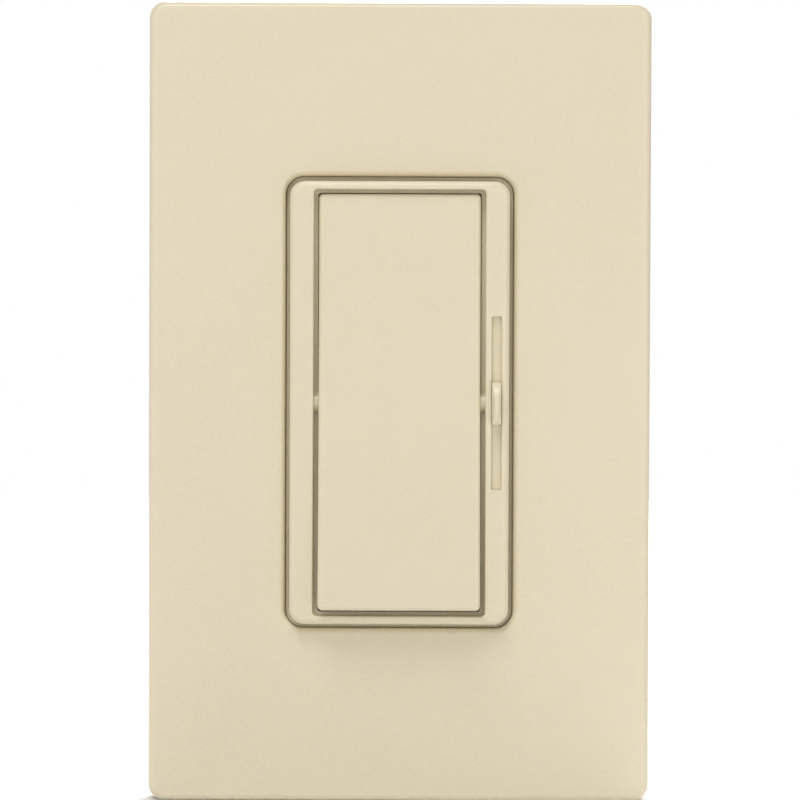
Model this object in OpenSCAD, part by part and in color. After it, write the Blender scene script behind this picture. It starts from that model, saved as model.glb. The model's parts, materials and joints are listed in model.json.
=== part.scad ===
// Wall-box dimmer: rocker paddle with a slider beside it, behind a screwless plate.
// X runs to the right, Z up, and the front faces -Y. The wall's surface is y = 0.

/* [Wallplate] */
// Width of the plate
plate_w = 74.7; // [73:0.1:76]
// Height of the plate
plate_h = 119.1; // [118:0.1:120]
// How far the plate stands off the wall
plate_depth = 7.6; // [7.6:0.1:8.2]
// Thickness of the plate's front wall
plate_front = 2.2; // [1.8:0.1:2.3]
// Thickness of the plate's side walls
plate_side = 1.9; // [1.7:0.1:2.0]
// Radius of the plate's corners
plate_corner = 2.4; // [1.6:0.1:4]
// Rounding of the plate's front edge
plate_edge = 1.0; // [0.5:0.1:1.4]
// Width of the plate's opening
opening_w = 34.0; // [33.8:0.1:34.2]
// Height of the plate's opening
opening_h = 67.4; // [67.2:0.1:67.6]

/* [Bezel] */
// Width of the bezel
bezel_w = 32.7; // [32.5:0.1:32.9]
// Height of the bezel
bezel_h = 66.0; // [65.8:0.1:66.2]
// How far the bezel stands proud of the plate
bezel_proud = 2.1; // [1.6:0.1:2.4]
// Width of the well that holds the paddle
well_w = 25.6; // [25.5:0.1:25.7]
// Height of the well
well_h = 63.5; // [63.3:0.1:63.7]
// Depth of the wide mouth of the well, down to the ledge round the paddle
ledge_depth = 2.3; // [2.2:0.1:2.8]

/* [Paddle] */
// Width of the paddle
paddle_w = 24.1; // [23.9:0.1:24.3]
// Height of the paddle
paddle_h = 61.9; // [61.6:0.1:62.1]
// Tilt of the paddle either side of its middle position, in degrees
paddle_tilt = 3.2; // [2.8:0.1:3.3]
// Radius of the paddle's hollow face
face_r = 520; // [420:10:520]
// Radius of the pins that the paddle rocks on
pin_r = 1.4; // [1.3:0.05:1.4]

/* [Slider] */
// Distance of the slider from the middle of the device
slider_x = 14.45; // [14.4:0.05:14.5]
// Width of the slider's slot
slot_w = 1.5; // [1.4:0.05:1.6]
// Length of the slider's slot
slot_len = 25.8; // [25.8:0.1:26.4]
// Travel of the slider either side of its middle
slider_travel = 9.5; // [9:0.1:9.5]
// Height of the slider's nib
nib_h = 6.4; // [6:0.1:6.4]

/* [Wall box] */
// Distance between the two box screws
box_gap = 83.34; // [83.2:0.01:83.5]
// Distance between the two plate screws
plate_gap = 96.8; // [96.6:0.1:97]
// Width of the case
case_w = 43; // [43:0.5:45]
// Height of the case
case_h = 68; // [68:0.5:70]
// Depth of the case behind the wall's surface
case_d = 26; // [26:0.5:32]

/* [Hidden] */
$fn = 0;

eps = 0.05;
hull_fn = 32;
face_fn = 1800;

// Depths along Y
yoke_y = [-1.5, -0.1];
flange_y = [-3.0, yoke_y[0]];
bezel_face = -plate_depth - bezel_proud;
adapter_y = [-5.1, -3.7];
rim_front = -5.8;
board_y = [6.5, 8.1];

// Paddle, drawn level and then tilted about its pins
pivot_y = -7.2;
paddle_edge_y = -10.6;
paddle_back_y = -5.0;
paddle_shell_y = -8.2;
pin_reach = 2.5;
post_x = -3;
post_end_y = 0.3;
plunger_r = 1.5;
plunger_tip_y = 2.5;
plunger_back_y = -4.5;
spring_seat_y = -8.0;

// Seesaw contact under the plunger
rocker_y = 3.6;
rocker_tilt = 8;
contact_z = 8;

// Slider
strip_w = 2.1;
strip_y = [-9.0, -8.4];
strip_half = 22.6;
channel_y = [-9.05, -8.3];
stem_half_w = 0.5;
stem_half_h = 2.0;

// Terminals: side of the case, height
common_at = [-1, 15];
travelers_at = [[1, 15], [1, -15]];
terminals_at = concat([common_at], travelers_at);
terminal_half = 5.2;
terminal_y = [10, 20];
terminal_screw_y = 15;
terminal_floor_x = 14.8;
wire_x = 16.85;
wire_z = 3.1;
wire_r = 1.2;

// Earthing tab and its screw
tab_x = [-21.5, -20.3];
tab_z = [-24, -13];
ground_y = 7;
ground_z = -18.5;

// Case
case_wall = 1.6;
case_back = 1.8;
post_at = [17, 29.5];
post_r = 3.6;

// 6-32 screws, and the undercut behind their heads
screw_r = 1.75;
neck_r = 1.35;

// Triac, flat on the back of the yoke
triac_x = -7.2;
triac_hole_z = 26.5;

// Choke: ring core lying over the board
choke_at = [-1, 13.6, -15];
choke_mid_r = 6.75;
choke_section = [4.5, 6];
choke_turns = 14;

// ---- Shared shapes ----

// Box between two corners, each side given as [low, high]
module block(x, y, z) {
    translate([x[0], y[0], z[0]])
        cube([x[1] - x[0], y[1] - y[0], z[1] - z[0]]);
}

// Rod along Y, from y[0] to y[1]
module rod_y(r, x, y, z) {
    translate([x, y[1], z])
        rotate([90, 0, 0])
            cylinder(r = r, h = y[1] - y[0]);
}

// Rod along X, from x[0] to x[1]
module rod_x(r, x, y, z) {
    translate([x[0], y, z])
        rotate([0, 90, 0])
            cylinder(r = r, h = x[1] - x[0]);
}

// Rectangle with round corners
module round_rect(w, h, r) {
    square([w - 2 * r, h], center = true);
    square([w, h - 2 * r], center = true);
    for (x = [-1, 1], z = [-1, 1])
        translate([x * (w / 2 - r), z * (h / 2 - r)])
            circle(r);
}

// Upright slab with round corners, from y[0] to y[1]
module slab(w, h, r, y) {
    translate([0, y[1], 0])
        rotate([90, 0, 0])
            linear_extrude(y[1] - y[0])
                round_rect(w, h, r);
}

// Slab whose front edge is rounded by e
module soft_slab(w, h, r, e, y) {
    slab(w, h, r, [y[0] + e, y[1]]);
    hull()
        for (a = [0 : 22.5 : 90])
            let (inset = e * (1 - cos(a)), front = y[0] + e - e * sin(a))
                slab(w - 2 * inset, h - 2 * inset, r - inset, [front, front + eps], $fn = hull_fn);
}

// Turns its children with the paddle, from level to rest
module at_paddle_rest() {
    translate([0, pivot_y, 0])
        rotate([-paddle_tilt, 0, 0])
            translate([0, -pivot_y, 0])
                children();
}

// Turns its children with the contact arm, from level to rest
module at_rocker_rest() {
    translate([0, rocker_y, 0])
        rotate([rocker_tilt, 0, 0])
            translate([0, -rocker_y, 0])
                children();
}

// Puts its children at each corner post of the case
module at_posts() {
    for (x = [-1, 1], z = [-1, 1])
        translate([x * post_at[0], 0, z * post_at[1]])
            children();
}

// Round-headed 6-32 screw, head to the right, with the head's seat at x = 0
module terminal_screw() {
    difference() {
        union() {
            rod_x(3.6, [0, 2.0], 0, 0);
            rod_x(screw_r, [-6.7, eps], 0, 0);
        }
        block([1.1, 2.1], [-0.5, 0.5], [-4, 4]);
    }
}

// Places a child made for the right-hand side at a terminal
module at_terminal(t) {
    translate([0, 0, t[1]])
        if (t[0] < 0)
            mirror([1, 0, 0]) children();
        else
            children();
}

// ---- Cover ----

module wallplate() {
    inner_w = plate_w - 2 * plate_side;
    inner_h = plate_h - 2 * plate_side;
    front_in = -plate_depth + plate_front;
    color("antiquewhite") {
        difference() {
            soft_slab(plate_w, plate_h, plate_corner, plate_edge, [-plate_depth, 0]);
            slab(inner_w, inner_h, 1, [front_in, 1]);
            slab(opening_w, opening_h, 2.7, [-plate_depth - 1, 0]);
            block([-3, 3], [-3.2, -1.8], [-plate_h / 2 - 1, -inner_h / 2 + 1]);
        }
        for (x = [-1, 1], z = [-30, 30])
            block(
                x > 0 ? [inner_w / 2 - 0.9, inner_w / 2 + eps] : [-inner_w / 2 - eps, -inner_w / 2 + 0.9],
                [-3.6, -2.7],
                [z - 4, z + 4]
            );
        for (x = [-20, 20], z = [-1, 1])
            block(
                [x - 0.6, x + 0.6],
                [front_in - eps, -2.6],
                z > 0 ? [inner_h / 2 - 0.3, inner_h / 2 + eps] : [-inner_h / 2 - eps, -inner_h / 2 + 0.3]
            );
    }
}

module wallplate_adapter() {
    color("whitesmoke")
    difference() {
        union() {
            slab(70.2, 114.4, 2, adapter_y);
            slab(opening_w - 0.2, opening_h - 0.2, 2.6, [rim_front, adapter_y[0] + eps]);
            for (z = [-1, 1])
                block([-6, 6], [adapter_y[1] - eps, yoke_y[0]], z > 0 ? [46, 52.5] : [-52.5, -46]);
        }
        slab(bezel_w + 0.2, bezel_h + 0.2, 2.4, [rim_front - 1, adapter_y[1] + 1]);
        for (z = [-1, 1])
            translate([0, 0, z * plate_gap / 2]) {
                rod_y(screw_r + 0.1, 0, [adapter_y[0] - 1, 0], 0);
                translate([0, adapter_y[0] + 1.6, 0])
                    rotate([90, 0, 0])
                        cylinder(r1 = screw_r, r2 = 3.4, h = 1.65);
            }
        for (x = [-1, 1], z = [-1, 1])
            translate([x * 20, 0, z * 46])
                slab(14, 12, 2, [adapter_y[0] - 1, adapter_y[1] + 1]);
        for (x = [-1, 1])
            translate([x * 26, 0, 0])
                slab(8, 44, 2, [adapter_y[0] - 1, adapter_y[1] + 1]);
    }
}

module adapter_screws() {
    color("silver")
    for (z = [-1, 1])
        translate([0, 0, z * plate_gap / 2])
            difference() {
                union() {
                    rod_y(screw_r, 0, [adapter_y[0] + 0.5, 6], 0);
                    translate([0, adapter_y[0] + 1.6, 0])
                        rotate([90, 0, 0])
                            cylinder(r1 = screw_r, r2 = 3.3, h = 1.6);
                }
                block([-4, 4], [adapter_y[0] - 1, adapter_y[0] + 0.8], [-0.45, 0.45]);
            }
}

// ---- Front of the device ----

module bezel() {
    lower_slot = stem_half_h + slider_travel + 0.35;
    color("antiquewhite") {
        difference() {
            union() {
                soft_slab(bezel_w, bezel_h, 2.3, 0.95, [bezel_face, flange_y[1]]);
                slab(39, 71, 2, flange_y);
                at_posts() rod_y(2.2, 0, [-3.5, flange_y[1]], 0);
            }
            slab(well_w, well_h, 0.6, [bezel_face - 1, bezel_face + ledge_depth]);
            slab(paddle_w + 0.3, paddle_h + 0.6, 0.4, [bezel_face - 1, flange_y[0]]);
            block([post_x - 3.4, post_x + 3.4], [flange_y[0] - 1, 0], [-4.4, 4.4]);
            block(
                [slider_x - slot_w / 2, slider_x + slot_w / 2],
                [bezel_face - 1, channel_y[1]],
                [-slot_len / 2, slot_len / 2]
            );
            block([slider_x - 1.15, slider_x + 1.15], channel_y, [-32.3, 32.3]);
            block(
                [slider_x - slot_w / 2, slider_x + slot_w / 2],
                [channel_y[0] + eps, 0],
                [-lower_slot, lower_slot]
            );
            at_posts() rod_y(1.25, 0, [-3.3, 0], 0);
            rod_y(3.2, triac_x, [-2.6, 0], triac_hole_z);
        }
        for (x = [-1, 1])
            rod_x(pin_r, x > 0 ? [well_w / 2 - pin_reach, well_w / 2 + 0.4]
                               : [-well_w / 2 - 0.4, -well_w / 2 + pin_reach], pivot_y, 0);
    }
}

module paddle() {
    color("antiquewhite")
    at_paddle_rest()
    difference() {
        union() {
            difference() {
                slab(paddle_w, paddle_h, 0.4, [paddle_edge_y, paddle_back_y]);
                translate([0, paddle_edge_y + pow(paddle_h / 2, 2) / (2 * face_r) - face_r, 0])
                    rod_x(face_r, [-20, 20], 0, 0, $fn = face_fn);
                slab(paddle_w - 3.2, paddle_h - 3.2, 0.4, [paddle_shell_y, 0]);
            }
            for (z = [-20, -10, 10, 20])
                block(
                    [-paddle_w / 2 + 1, paddle_w / 2 - 1],
                    [paddle_shell_y - eps, -5.8],
                    [z - 0.6, z + 0.6]
                );
            for (x = [-1, 1])
                block(
                    x > 0 ? [9.2, paddle_w / 2 - 0.5] : [-paddle_w / 2 + 0.5, -9.2],
                    [paddle_shell_y - eps, paddle_back_y],
                    [-3, 3]
                );
            rod_y(2.7, post_x, [paddle_shell_y - eps, post_end_y], 0);
        }
        for (x = [-1, 1])
            rod_x(pin_r + 0.05, x > 0 ? [10.2, 20] : [-20, -10.2], pivot_y, 0);
        rod_y(plunger_r + 0.1, post_x, [spring_seat_y, 5], 0);
    }
}

module plunger() {
    color("white")
    at_paddle_rest() {
        rod_y(plunger_r, post_x, [plunger_back_y, plunger_tip_y - plunger_r], 0);
        translate([post_x, plunger_tip_y - plunger_r, 0])
            sphere(r = plunger_r);
    }
}

// One section of the spring: a small circle at an angle along the coil
function spring_ring(a, rise, coil_r, wire_r, sides) = [
    for (j = [0 : sides - 1])
        let (b = 360 * j / sides, r = coil_r + wire_r * cos(b))
            [r * cos(a), rise + wire_r * sin(b), r * sin(a)]
];

module plunger_spring() {
    sides = 8;
    steps = 72;
    turns = 6;
    coil_r = 1.15;
    wire = 0.2;
    low = spring_seat_y + wire + 0.02;
    high = plunger_back_y - wire - 0.02;
    points = [
        for (i = [0 : steps])
            each spring_ring(360 * turns * i / steps, low + (high - low) * i / steps, coil_r, wire, sides)
    ];
    side_faces = [
        for (i = [0 : steps - 1], j = [0 : sides - 1])
            let (k = (j + 1) % sides)
                [i * sides + j, (i + 1) * sides + j, (i + 1) * sides + k, i * sides + k]
    ];
    start_cap = [for (j = [0 : sides - 1]) j];
    end_cap = [for (j = [sides - 1 : -1 : 0]) steps * sides + j];
    color("lightsteelblue")
    at_paddle_rest()
        translate([post_x, 0, 0])
            polyhedron(points, concat(side_faces, [start_cap, end_cap]));
}

module slider_knob() {
    half = nib_h / 2;
    foot = strip_y[0];
    color("antiquewhite")
    translate([slider_x, 0, 0]) {
        translate([-0.7, 0, 0])
            rotate([90, 0, 90])
                linear_extrude(1.4)
                    polygon([
                        [foot, -half], [-10.6, -half], [-11.7, -half + 1.0], [-11.9, 0],
                        [-11.7, half - 1.0], [-10.6, half], [foot, half]
                    ]);
        difference() {
            block([-stem_half_w, stem_half_w], [foot - eps, -0.2], [-stem_half_h, stem_half_h]);
            block([-1, 1], [-4.2, 0], [-0.65, 0.65]);
        }
    }
}

module dust_strip() {
    color("antiquewhite")
    translate([slider_x, 0, 0])
        difference() {
            block([-strip_w / 2, strip_w / 2], strip_y, [-strip_half, strip_half]);
            block(
                [-stem_half_w - 0.02, stem_half_w + 0.02],
                [strip_y[0] - 1, strip_y[1] + 1],
                [-stem_half_h - 0.02, stem_half_h + 0.02]
            );
        }
}

// ---- Mounting strap and its screws ----

module yoke() {
    t = yoke_y;
    color("silver")
    difference() {
        union() {
            slab(case_w, 72, 2, t);
            slab(32, 106, 3, t);
            block(tab_x, [yoke_y[0], 13.5], tab_z);
        }
        block([post_x - 3.4, post_x + 3.4], [-3, 1], [-4.4, 4.4]);
        block([slider_x - 1.15, slider_x + 1.15], [-3, 1], [-12.2, 12.2]);
        for (z = [-1, 1])
            translate([0, 0, z * box_gap / 2])
                slab(6.4, 3.9, 1.94, [-3, 1]);
        for (z = [-1, 1])
            rod_y(screw_r, 0, [-3, 1], z * plate_gap / 2);
        for (x = [-1, 1], z = [-1, 1]) {
            rod_y(2.2, x * 11, [-3, 1], z * 47.5);
            block([x * 6.4 - 0.4, x * 6.4 + 0.4], [-3, 1], z > 0 ? [49.8, 54] : [-54, -49.8]);
            block([x * 14.2 - 2, x * 14.2 + 2], [-3, 1], z > 0 ? [41.6, 42.4] : [-42.4, -41.6]);
        }
        at_posts() rod_y(1.4, 0, [-3, 1], 0);
        rod_y(1.6, triac_x, [-3, 1], triac_hole_z);
        rod_x(screw_r + 0.05, [-23, -19], ground_y, ground_z);
    }
}

module box_screws() {
    color("silver")
    for (z = [-1, 1])
        translate([0, 0, z * box_gap / 2])
            difference() {
                union() {
                    rod_y(3.5, 0, [-3.4, yoke_y[0]], 0);
                    rod_y(neck_r, 0, [yoke_y[0] - eps, 1.2 + eps], 0);
                    rod_y(screw_r, 0, [1.2, 22], 0);
                }
                block([-4, 4], [-4, -2.5], [-0.5, 0.5]);
            }
}

module screw_retainers() {
    color("peru")
    for (z = [-1, 1])
        translate([0, 0, z * box_gap / 2])
            difference() {
                rod_y(3.9, 0, [yoke_y[1], 0.7], 0);
                rod_y(neck_r + 0.1, 0, [-1, 2], 0);
            }
}

module ground_screw() {
    color("green")
    difference() {
        union() {
            translate([-24, ground_y, ground_z])
                rotate([0, 90, 0])
                    cylinder(r = 4.2, h = 2.5, $fn = 6);
            rod_x(screw_r, [-21.6, -16.6], ground_y, ground_z);
        }
        block([-25, -23], [ground_y - 5, ground_y + 5], [ground_z - 0.5, ground_z + 0.5]);
    }
}

// ---- Case ----

module housing() {
    half_w = case_w / 2;
    color("dimgray")
    difference() {
        union() {
            difference() {
                slab(case_w, case_h, 2, [yoke_y[1], case_d]);
                slab(case_w - 2 * case_wall, case_h - 2 * case_wall, 1, [-1, case_d - case_back]);
            }
            at_posts() rod_y(post_r, 0, [yoke_y[1], case_d - case_back + eps], 0);
            for (t = terminals_at)
                at_terminal(t)
                    block(
                        [terminal_floor_x - 1.6, half_w],
                        [terminal_y[0] - 1.6, case_d],
                        [-terminal_half - 1.6, terminal_half + 1.6]
                    );
            block([-half_w + 0.5, -18.6], [yoke_y[1], 15.5], [tab_z[0] - 2, tab_z[1] + 2]);
            block([-half_w + 0.5, -15.4], [1.6, 12.4], [tab_z[0], tab_z[1]]);
        }
        for (t = terminals_at)
            at_terminal(t) {
                block(
                    [terminal_floor_x, half_w + 1],
                    terminal_y,
                    [-terminal_half, terminal_half]
                );
                rod_x(2.0, [terminal_floor_x - 3, terminal_floor_x + 1], terminal_screw_y, 0);
                block(
                    [terminal_floor_x, terminal_floor_x + 0.85],
                    [terminal_y[0] - 3, terminal_y[0] + 1],
                    [-1.6, 1.6]
                );
                rod_y(wire_r, wire_x, [terminal_y[1] - 1, case_d + 1], wire_z);
            }
        block([-half_w - 1, -20.2], [-1, 14], [tab_z[0] - 0.5, tab_z[1] + 0.5]);
        rod_x(screw_r + 0.35, [-21, -16.2], ground_y, ground_z);
        at_posts() {
            rod_y(1.35, 0, [-1, case_d], 0);
            rod_y(2.9, 0, [case_d - 2.2, case_d + 1], 0);
        }
    }
}

module housing_screws() {
    color("silver")
    at_posts()
        difference() {
            union() {
                rod_y(2.6, 0, [case_d - 2.2, case_d - 0.5], 0);
                rod_y(1.2, 0, [-3.2, case_d - 2.1], 0);
            }
            block([-1.9, 1.9], [case_d - 1.5, case_d], [-0.35, 0.35]);
            block([-0.35, 0.35], [case_d - 1.5, case_d], [-1.9, 1.9]);
        }
}

module rating_label() {
    color("gainsboro")
    block([-12, 12], [case_d, case_d + 0.12], [-24, 24]);
}

// ---- Circuit board and slide potentiometer ----

module circuit_board() {
    color("darkgreen")
    difference() {
        block([-19.5, 19.5], board_y, [-32, 32]);
        at_posts() rod_y(post_r + 0.4, 0, [board_y[0] - 1, board_y[1] + 1], 0);
        block([-21, -15], [board_y[0] - 1, board_y[1] + 1], [tab_z[0] - 2.5, tab_z[1] + 2.5]);
    }
}

module pot_frame() {
    color("silver")
    difference() {
        block([9.9, 19.0], [0.3, 6.4], [-19.5, 19.5]);
        block([10.4, 18.5], [0.8, 7], [-19, 19]);
        block([slider_x - 0.95, slider_x + 0.95], [0, 1], [-12.2, 12.2]);
    }
}

module pot_track() {
    color("saddlebrown")
    block([10.45, 18.45], [5.6, 6.4], [-18.9, 18.9]);
}

module pot_wiper() {
    color("white")
    union() {
        block([11, 17.9], [1.2, 5.2], [-3.5, 3.5]);
        block([slider_x - 0.45, slider_x + 0.45], [-3.9, 1.25], [-0.55, 0.55]);
    }
}

// ---- Switch contacts ----

module contact_rocker() {
    color("goldenrod")
    at_rocker_rest() {
        block([post_x - 2.6, post_x + 2.6], [2.6, 3.4], [-9.6, 9.6]);
        rod_x(0.95, [post_x - 3.2, post_x + 3.2], rocker_y, 0);
        rod_x(0.7, [post_x - 4.3, post_x + 4.3], rocker_y, 0);
    }
}

module moving_contacts() {
    color("silver")
    at_rocker_rest()
        for (z = [-1, 1])
            rod_y(1.3, post_x, [3.4, 4.2], z * contact_z);
}

module rocker_bracket() {
    color("goldenrod")
    difference() {
        block([post_x - 4.2, post_x + 4.2], [2.2, board_y[0]], [-2.2, 2.2]);
        block([post_x - 3.4, post_x + 3.4], [1, 5.9], [-3, 3]);
        rod_x(0.75, [post_x - 6, post_x + 6], rocker_y, 0);
    }
}

module fixed_contacts() {
    color("silver")
    for (z = [-1, 1])
        rod_y(1.4, post_x, [5.55, 5.95], z * contact_z);
}

module contact_blades() {
    color("goldenrod")
    for (z = [-1, 1])
        block([post_x - 2.5, post_x + 2.5], [5.95, board_y[0]], z > 0 ? [6, 11] : [-11, -6]);
}

// ---- Terminals ----

// Brass plate in its recess, with a leg to the board
module terminal_plate() {
    difference() {
        union() {
            block([14.8, 15.6], [terminal_y[0] + 0.5, terminal_y[1] - 0.2], [-4.6, 4.6]);
            block([14.8, 15.6], [board_y[1], terminal_y[0] + 0.6], [-1.5, 1.5]);
        }
        rod_x(screw_r, [14, 17], terminal_screw_y, 0);
    }
}

module common_terminal() {
    color("goldenrod")
    at_terminal(common_at) terminal_plate();
}

module traveler_terminals() {
    color("goldenrod")
    for (t = travelers_at)
        at_terminal(t) terminal_plate();
}

module common_screw() {
    color("darkslategray")
    at_terminal(common_at)
        translate([18.9, terminal_screw_y, 0])
            terminal_screw();
}

module traveler_screws() {
    color("goldenrod")
    for (t = travelers_at)
        at_terminal(t)
            translate([18.9, terminal_screw_y, 0])
                terminal_screw();
}

module clamp_plates() {
    color("silver")
    for (t = terminals_at)
        at_terminal(t)
            difference() {
                block([18.1, 18.9], [11, 19], [-4.4, 4.4]);
                rod_x(screw_r + 0.15, [17, 20], terminal_screw_y, 0);
            }
}

// ---- Parts on the board ----

module triac() {
    color("dimgray")
    translate([triac_x, 0, 0]) {
        difference() {
            block([-5, 5], [0.25, 1.55], [14, 29.4]);
            rod_y(1.9, 0, [-1, 3], triac_hole_z);
        }
        block([-5, 5], [1.5, 4.7], [14, 23]);
        for (x = [-2.54, 0, 2.54]) {
            block([x - 0.4, x + 0.4], [2.6, 3.1], [11.2, 14.1]);
            block([x - 0.4, x + 0.4], [2.6, board_y[0]], [11.2, 11.7]);
        }
    }
}

module triac_pad() {
    color("lightgray")
    difference() {
        translate([triac_x, 0, 0])
            block([-5.5, 5.5], [yoke_y[1], 0.25], [13.4, 30.2]);
        rod_y(1.9, triac_x, [-1, 3], triac_hole_z);
    }
}

module triac_rivet() {
    color("silver")
    translate([triac_x, 0, triac_hole_z]) {
        rod_y(2.8, 0, [-2.3, yoke_y[0]], 0);
        rod_y(1.55, 0, [-2, 2], 0);
        rod_y(2.8, 0, [1.55, 2.4], 0);
    }
}

module choke_core() {
    half = choke_section / 2;
    color("darkolivegreen")
    translate(choke_at)
        difference() {
            rod_y(choke_mid_r + half[0], 0, [-half[1], half[1]], 0);
            rod_y(choke_mid_r - half[0], 0, [-9, 9], 0);
        }
}

module choke_winding() {
    color("peru")
    translate(choke_at)
        for (i = [0 : choke_turns - 1])
            rotate([0, 360 * i / choke_turns, 0])
                translate([choke_mid_r, 0, 0])
                    rotate_extrude()
                        translate([4.5, 0])
                            circle(0.38);
}

module film_capacitor() {
    color("gold")
    block([-12, 6], [board_y[1], 18], [4, 12]);
}

module ceramic_capacitor() {
    color("darkorange")
    translate([10.2, 13, 3])
        cylinder(r = 3.6, h = 2.4, center = true);
}

module varistor() {
    color("royalblue")
    translate([-2, 14.5, 20])
        cylinder(r = 5.5, h = 3.6, center = true);
}

// Round body lying along X above the board, on two bent legs
module axial_part(r, length, span, z) {
    y = board_y[0] - 1.6;
    rod_x(r, [-length / 2, length / 2], y, z);
    for (s = [-1, 1]) {
        rod_x(0.25, s > 0 ? [length / 2 - 0.1, span / 2] : [-span / 2, -length / 2 + 0.1], y, z);
        rod_y(0.25, s * span / 2, [y - 0.25, board_y[0]], z);
    }
}

module resistors() {
    color("tan")
    translate([-5, 0, 0])
        for (z = [-15, -19, -23])
            axial_part(1.15, 6.5, 10, z);
}

module diac() {
    color("orangered")
    translate([-5, 0, 0])
        axial_part(0.9, 4, 8, -27);
}

module trimmer_body() {
    color("royalblue")
    difference() {
        block([1.4, 7.6], [3.2, board_y[0]], [19, 25.2]);
        rod_y(2.45, 4.5, [2, 5.1], 22.1);
    }
}

module trimmer_rotor() {
    color("white")
    difference() {
        rod_y(2.4, 4.5, [2.9, 5.05], 22.1);
        block([2.8, 6.2], [2, 3.7], [21.8, 22.4]);
    }
}

wallplate();
wallplate_adapter();
adapter_screws();
bezel();
paddle();
plunger();
plunger_spring();
slider_knob();
dust_strip();
yoke();
box_screws();
screw_retainers();
housing();
housing_screws();
rating_label();
circuit_board();
pot_frame();
pot_track();
pot_wiper();
contact_rocker();
moving_contacts();
rocker_bracket();
fixed_contacts();
contact_blades();
common_terminal();
traveler_terminals();
common_screw();
traveler_screws();
clamp_plates();
ground_screw();
triac();
triac_pad();
triac_rivet();
choke_core();
choke_winding();
film_capacitor();
ceramic_capacitor();
varistor();
resistors();
diac();
trimmer_body();
trimmer_rotor();
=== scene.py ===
import json
import math
import bmesh
import bpy
from mathutils import Matrix, Vector


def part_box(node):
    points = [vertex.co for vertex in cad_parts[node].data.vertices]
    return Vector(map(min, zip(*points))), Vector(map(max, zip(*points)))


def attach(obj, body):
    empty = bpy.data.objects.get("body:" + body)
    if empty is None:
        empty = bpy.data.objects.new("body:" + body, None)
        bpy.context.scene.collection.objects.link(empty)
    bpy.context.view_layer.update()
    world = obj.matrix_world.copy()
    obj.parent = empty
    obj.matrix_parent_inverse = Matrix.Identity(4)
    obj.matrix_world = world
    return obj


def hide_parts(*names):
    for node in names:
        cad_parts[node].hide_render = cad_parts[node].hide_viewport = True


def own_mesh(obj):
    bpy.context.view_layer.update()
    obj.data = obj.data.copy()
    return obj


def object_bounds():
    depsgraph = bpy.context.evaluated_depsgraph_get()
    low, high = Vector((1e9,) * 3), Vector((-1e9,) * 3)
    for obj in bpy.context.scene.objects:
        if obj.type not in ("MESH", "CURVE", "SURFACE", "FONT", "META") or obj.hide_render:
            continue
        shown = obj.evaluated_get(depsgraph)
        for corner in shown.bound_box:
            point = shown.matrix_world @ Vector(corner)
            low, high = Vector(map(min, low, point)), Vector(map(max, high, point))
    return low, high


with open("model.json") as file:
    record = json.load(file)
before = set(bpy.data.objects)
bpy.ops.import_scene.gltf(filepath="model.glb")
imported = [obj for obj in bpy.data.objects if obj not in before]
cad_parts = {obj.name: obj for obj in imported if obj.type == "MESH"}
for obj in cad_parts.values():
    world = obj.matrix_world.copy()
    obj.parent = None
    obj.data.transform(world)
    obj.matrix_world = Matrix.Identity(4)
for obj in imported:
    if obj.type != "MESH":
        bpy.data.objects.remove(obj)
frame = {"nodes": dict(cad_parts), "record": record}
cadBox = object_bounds()
mm = 0.001
groups = frame["record"]["behaviour"]["bodies"]
bodyFor = {node: body for body, members in groups.items() for node in members}
print("frame loaded:", len(frame["nodes"]), "CAD nodes")


# Shapes are worked out in millimetres; place() turns them into metres.

# points nearer than this are merged, in shapes made here and in copies of the CAD
shapeGap = 0.0005
copyGap = 0.002
# faces that turn less than this many degrees count as flat
flatAngle = 0.5
# how far a cutting tool goes past the surface it cuts
past = 1


def span(node):
    low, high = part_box(node)
    return low / mm, high / mm


def addObject(data, name="shape"):
    obj = bpy.data.objects.new(name, data)
    bpy.context.scene.collection.objects.link(obj)
    return obj


def makeObject(points, faces):
    mesh = bpy.data.meshes.new("shape")
    mesh.from_pydata([tuple(p) for p in points], [], faces)
    bm = bmesh.new()
    bm.from_mesh(mesh)
    bmesh.ops.remove_doubles(bm, verts=bm.verts, dist=shapeGap)
    bmesh.ops.recalc_face_normals(bm, faces=bm.faces)
    bm.to_mesh(mesh)
    bm.free()
    return addObject(mesh)


def drop(obj):
    mesh = obj.data
    bpy.data.objects.remove(obj)
    bpy.data.meshes.remove(mesh)


def gather(objects):
    # several shapes in one mesh, without merging their surfaces
    bm = bmesh.new()
    for obj in objects:
        bm.from_mesh(obj.data)
        drop(obj)
    mesh = bpy.data.meshes.new("shape")
    bm.to_mesh(mesh)
    bm.free()
    return addObject(mesh)


def applied(obj):
    bpy.context.view_layer.update()
    seen = obj.evaluated_get(bpy.context.evaluated_depsgraph_get())
    mesh = bpy.data.meshes.new_from_object(seen)
    obj.modifiers.clear()
    old = obj.data
    obj.data = mesh
    bpy.data.meshes.remove(old)
    return obj


def combine(obj, operation, tools):
    for tool in tools:
        step = obj.modifiers.new("step", "BOOLEAN")
        step.operation = operation
        step.solver = "EXACT"
        step.object = tool
    applied(obj)
    for tool in tools:
        drop(tool)
    return obj


def cut(obj, *tools):
    return combine(obj, "DIFFERENCE", tools)


def weld(obj, *others):
    return combine(obj, "UNION", others)


def soften(obj, width, segments=2, angle=30):
    bm = bmesh.new()
    bm.from_mesh(obj.data)
    bmesh.ops.remove_doubles(bm, verts=bm.verts, dist=copyGap)
    bmesh.ops.dissolve_limit(bm, angle_limit=math.radians(flatAngle), verts=bm.verts, edges=bm.edges)
    sharp = [e for e in bm.edges if e.is_manifold and e.calc_face_angle() > math.radians(angle)]
    bmesh.ops.bevel(bm, geom=sharp, offset=width, segments=segments, profile=0.5,
                    affect="EDGES", clamp_overlap=True)
    bm.to_mesh(obj.data)
    bm.free()
    return obj


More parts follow.
